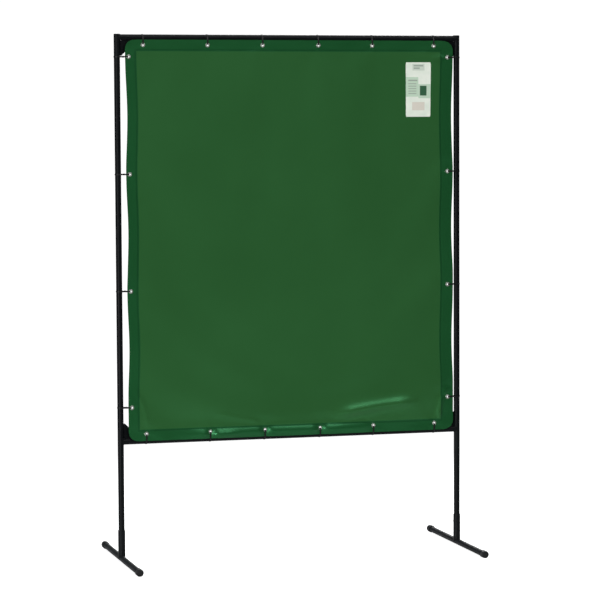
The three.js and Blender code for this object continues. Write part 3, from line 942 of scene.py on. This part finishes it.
def build_label():
    """A thin vinyl label that lies on the film."""
    low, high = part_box("label")
    width, height, corner = high.x - low.x, high.z - low.z, 1.5 * MM
    vinyl = 0.12 * MM
    steps_x, steps_z = 14, 28
    flat = []
    for j in range(steps_z + 1):
        for i in range(steps_x + 1):
            u, v = i / steps_x, j / steps_z
            from_edge = min(v, 1 - v) * height
            cut = corner - math.sqrt(max(corner**2 - max(corner - from_edge, 0) ** 2, 0))
            flat.append((low.x + cut + (width - 2 * cut) * u, low.z + height * v))
    flat = np.array(flat)
    hung = draped(flat)
    hung[:, 1] -= FILM / 2 + vinyl  # clear of the film by its own thickness
    points = np.vstack([hung - [0, vinyl, 0], hung])
    count, row = len(flat), steps_x + 1
    cells = [j * row + i for j in range(steps_z) for i in range(steps_x)]
    front = [(k, k + 1, k + row + 1, k + row) for k in cells]
    back = [tuple(k + count for k in reversed(face)) for face in front]
    edge = list(range(row)) + [row * (j + 1) - 1 for j in range(1, steps_z + 1)]
    edge += [row * steps_z + i for i in range(steps_x - 1, -1, -1)]
    edge += [row * j for j in range(steps_z - 1, 0, -1)]
    rim = [(j, i, i + count, j + count) for i, j in zip(edge, edge[1:] + edge[:1])]
    shape = points, front + back + rim
    label = add("vinyl_label", shape, label_vinyl(), "screen", ["label"], sharp=50)
    place = np.zeros((2 * count, 3), np.float32)
    place[:, 0] = np.tile((flat[:, 0] - low.x) / width, 2)
    place[:, 1] = np.tile((flat[:, 1] - low.z) / height, 2)
    label.data.attributes.new("place", "FLOAT_VECTOR", "POINT").data.foreach_set("vector", place.ravel())
    return label


def eyelet():
    """A rolled eyelet and its washer about Z, front up, with the film's middle plane at 0, in millimetres."""
    front, back = 0.22, -0.68
    profile = [(5.4, front), (7.8, front)]
    profile += bend((7.8, front + 0.25), 0.25, -90, 60, 4)
    profile += [(7.5, 0.98), (7.0, 1.2), (6.2, 1.3), (5.1, 1.24), (4.2, 1.0), (3.6, 0.58), (3.4, 0.1)]
    profile += [(3.4, -0.7), (3.5, -1.12), (3.9, -1.4), (4.7, -1.5), (5.7, -1.42), (6.4, -1.18), (6.8, -1.02)]
    profile += bend((7.8, back - 0.2), 0.2, -90, 90, 4)
    profile += [(5.4, back)]
    return lathe([(r * MM, h * MM) for r, h in profile], 40, closed=True)


def build_eyelets(metal):
    pieces = []
    for station, centre in EYELETS.items():
        shape = moved(eyelet(), at(centre.x, FILM_Y, centre.z) @ FACE_FRONT)
        pieces.append(add(f"rolled_{station}", shape, metal, "screen", [f"eyelet_{station}"]))
    return pieces


# --- Cable ties -------------------------------------------

STRAP_WIDTH, STRAP_THICK = 4.8 * MM, 1.2 * MM
STRAP_BEND = 2.6 * MM  # the radius of the strap's bend round the eyelet's rim
RIM_BEND = Vector((4.35 * MM, 0.1 * MM))  # the middle of that bend, from the eyelet's centre
HEAD = (7 * MM, 6.4 * MM, 4.6 * MM)  # along the strap, across it and out from it


def strap_line(reach, edge):
    """The strap's middle line, tight round the tube, the hem's edge and the eyelet's rim."""
    depth = -FILM_Y
    circles = [
        (reach, depth, TUBE_R + STRAP_THICK / 2 + 0.1 * MM),
        (RIM_BEND.x, RIM_BEND.y, STRAP_BEND),
        (edge - 0.4 * MM, -0.3 * MM, STRAP_THICK / 2 + 0.35 * MM),
    ]
    cloud = [Vector((cx + a, cy + b)) for cx, cy, r in circles for a, b in disc(r, 90)]
    return [cloud[i] for i in geometry.convex_hull_2d(cloud)]


def tie(reach, edge, tail_length, lean):
    """A cable tie in its own frame: X from the eyelet to the tube, Y to the back and Z across the strap."""
    hull = strap_line(reach, edge)
    path = resampled([(p.x, p.y, 0) for p in hull], 1 * MM, closed=True)
    centre = sum(path, Vector()) / len(path)
    section = rounded_rectangle(STRAP_WIDTH, STRAP_THICK, 0.25 * MM, 2)
    strap = sweep(path, section, lambda p: p - centre)

    # the head sits half way along the strap's back, which leans because the tube is the larger circle
    between = Vector((reach, -FILM_Y)) - RIM_BEND
    rounder = TUBE_R + STRAP_THICK / 2 - STRAP_BEND
    out = Matrix.Rotation(math.pi / 2 + math.asin(rounder / between.length), 2) @ between.normalized()
    along = Vector((out.y, -out.x))
    run = math.sqrt(between.length_squared - rounder**2)
    seat = RIM_BEND + out * (STRAP_BEND + 0.9 * MM) + along * (run * 0.5)
    turned = at(seat.x, seat.y, 0) @ Matrix.Rotation(math.atan2(along.y, along.x), 4, "Z")
    length, width, height = HEAD
    outline = rounded_rectangle(length, height, 0.9 * MM, 4)
    side, eased = width / 2, width / 2 - 0.45 * MM
    rings = []
    for z, inset in ((-side, 0.86), (-eased, 1), (eased, 1), (side, 0.86)):
        rings.append([(a * inset, b * inset, z) for a, b in outline])
    head = moved(skin(rings), turned)
    start = Vector((length / 2 - 1 * MM, 1.2 * MM, 0))
    steps = np.linspace(0, 1, 9)
    tail_path = [start + Vector((s * tail_length, lean * s * s * tail_length, 0)) for s in steps]
    tail = moved(sweep(tail_path, section, lambda p: Vector((0, 1, 0)), closed=False), turned)
    return joined(strap, head, tail)


def build_ties(nylon):
    draw = random.Random(7)
    top_z, bottom_z, side_x = EYELETS["top_1"].z, EYELETS["bottom_1"].z, EYELETS["right_1"].x
    rows = {  # the way to the tube about Y, how far its middle is, and how far the film's edge is
        "top": (-math.pi / 2, TOP_RAIL_Z - top_z, HIGH_Z - top_z),
        "right": (0, UPRIGHT_X - side_x, EDGE_X + WIDER_RIGHT - side_x),
        "bottom": (math.pi / 2, bottom_z - BOTTOM_RAIL_Z, bottom_z - LOW_Z),
        "left": (math.pi, UPRIGHT_X - side_x, EDGE_X - side_x),
    }
    for row, (way, reach, edge) in rows.items():
        for station in ROWS[row]:
            centre = EYELETS[station]
            shape = tie(reach, edge, draw.uniform(7, 11) * MM, draw.uniform(0.05, 0.35))
            shape = moved(shape, at(centre.x, FILM_Y, centre.z) @ Matrix.Rotation(way, 4, "Y"))
            add(f"cable_{station}", shape, nylon, "screen", [f"tie_{station}"], sharp=45)


# --- Studio -----------------------------------------------


def build_stage():
    """A floor that the camera sees as white, and that is pale only near the screen."""
    mesh = bpy.data.meshes.new("floor")
    reach = 60
    corners = [(-reach, -reach, 0), (reach, -reach, 0), (reach, reach, 0), (-reach, reach, 0)]
    mesh.from_pydata(corners, [], [(0, 1, 2, 3)])
    floor = bpy.data.objects.new("floor", mesh)
    bpy.context.scene.collection.objects.link(floor)
    material, tree, shader, coords = surface("pale_floor", Roughness=0.9, Specular_IOR_Level=0.0)
    far = node(tree, "VectorMath", {0: coords}, operation="LENGTH").outputs["Value"]
    in_reach = node(tree, "MapRange", {"Value": far, "From Min": 1.6, "From Max": 3.0}).outputs["Result"]
    feed(tree, shader, Base_Color=ramp(tree, in_reach, [(0.0, 0.75), (1.0, 0.1)]))
    near_to_far = {"Value": far, "From Min": 1.5, "From Max": 7.0, "To Min": 0.88, "To Max": 1.05}
    spread = node(tree, "MapRange", near_to_far).outputs["Result"]
    shown = node(tree, "LightPath").outputs["Is Camera Ray"]
    glow = node(tree, "Math", {0: shown, 1: spread}, operation="MULTIPLY").outputs["Value"]
    shader.inputs["Emission Color"].default_value = (1, 1, 1, 1)
    tree.links.new(glow, shader.inputs["Emission Strength"])
    mesh.materials.append(material)


def build_world():
    """White where the camera sees it, and a soft grey room, brighter overhead, as the light."""
    world = bpy.data.worlds.new("studio")
    bpy.context.scene.world = world
    world.use_nodes = True
    tree = world.node_tree
    direction = node(tree, "TexCoord").outputs["Generated"]
    way = node(tree, "SeparateXYZ", {"Vector": direction})
    behind = node(tree, "MapRange", {"Value": way.outputs["Y"], "From Min": -1.0}).outputs["Result"]
    walls = ramp(tree, behind, [(0.35, (0.03, 0.03, 0.03)), (0.8, (0.11, 0.12, 0.135))])
    overhead = ramp(tree, way.outputs["Z"], [(0.15, 0.0), (0.8, 1.0)])
    room = mix(tree, overhead, walls, (0.5, 0.52, 0.54, 1))
    seen = node(tree, "LightPath").outputs["Is Camera Ray"]
    colour = mix(tree, seen, room, (1.05, 1.05, 1.05, 1))
    background = tree.nodes["Background"]
    tree.links.new(colour, background.inputs["Color"])


def softbox(name, place, target, size, watts):
    data = bpy.data.lights.new(name, "AREA")
    data.shape = "RECTANGLE"
    data.size, data.size_y = size
    data.energy = watts
    lamp = bpy.data.objects.new(name, data)
    lamp.location = place
    lamp.rotation_euler = (Vector(target) - Vector(place)).to_track_quat("-Z", "Y").to_euler()
    bpy.context.scene.collection.objects.link(lamp)
    lamp.visible_camera = False


CAMERA_PLACE = (-2.444, -8.905, 1.580)
CAMERA_YAW, CAMERA_PITCH, CAMERA_ROLL = 15.55, -4.0, -0.29  # degrees, from a level look along +Y
CAMERA_LENS = 151.7


def build_camera():
    data = bpy.data.cameras.new("camera")
    data.lens = CAMERA_LENS
    camera = bpy.data.objects.new("camera", data)
    yaw = Matrix.Rotation(-math.radians(CAMERA_YAW), 4, "Z")
    pitch = Matrix.Rotation(math.radians(90 + CAMERA_PITCH), 4, "X")
    roll = Matrix.Rotation(math.radians(CAMERA_ROLL), 4, "Z")
    camera.matrix_world = at(*CAMERA_PLACE) @ yaw @ pitch @ roll
    bpy.context.scene.collection.objects.link(camera)
    bpy.context.scene.camera = camera


build_camera()
build_stage()
build_world()
softbox("side", (-5.4, -5.8, 0.4), (0, 0, 0.7), (1.6, 2.0), 545)
softbox("high", (0.9, -3.0, 4.0), (0.1, 0, 0.0), (2.4, 1.2), 64)
softbox("overhead", (0.2, 0.9, 4.6), (0, 0, 0), (3.0, 2.0), 70)
softbox("back", (2.4, 5.4, 3.4), (0, 0, 1.0), (3.0, 2.0), 200)
bpy.context.scene.view_settings.view_transform = "Standard"

frame_paint = powder_coat("frame_paint", 0.09)
build_frame(frame_paint)
build_feet(powder_coat("foot_paint", 0.1, worn=1.0))
black_plastic = moulded("black_plastic", (0.008, 0.0085, 0.009), 0.5)
build_plugs(black_plastic)
build_caps(black_plastic)
build_screws(plated("zinc_plate", (0.62, 0.63, 0.6), 0.34))
film = build_film()
on_the_film = [build_label(), *build_eyelets(plated("nickel_plate", (0.36, 0.4, 0.35), 0.46))]
build_ties(moulded("tie_nylon", (0.006, 0.006, 0.0065), 0.42, grain=1500, grain_depth=0.1 * MM))
